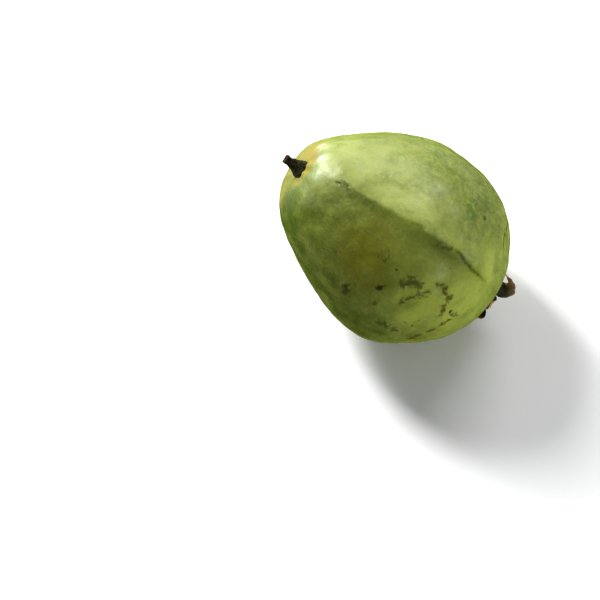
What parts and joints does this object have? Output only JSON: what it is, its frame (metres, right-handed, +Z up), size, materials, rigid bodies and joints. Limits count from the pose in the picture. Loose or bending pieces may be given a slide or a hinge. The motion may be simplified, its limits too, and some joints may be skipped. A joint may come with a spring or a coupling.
{
  "type": "guava",
  "caption": "Whole common guava lying on its side: green pear-shaped fruit with soft lengthwise ridges, stem stub and dried calyx.",
  "frame": {"origin": "middle of the small flat spot that the fruit rests on", "axes": "+Z up; +X along the fruit's length as it lies, toward the calyx end; the stem end points to -X and rises 34 degrees"},
  "size_m": [0.0831, 0.0686, 0.0715],
  "materials": {
    "skin": null,
    "stem_bark": "dried dark brown stalk",
    "dried_calyx": "dried leathery brown sepals"
  },
  "bodies": {
    "root": {"fruit_body": "skin", "stem": "stem_bark", "calyx": "dried_calyx"}
  },
  "joints": []
}
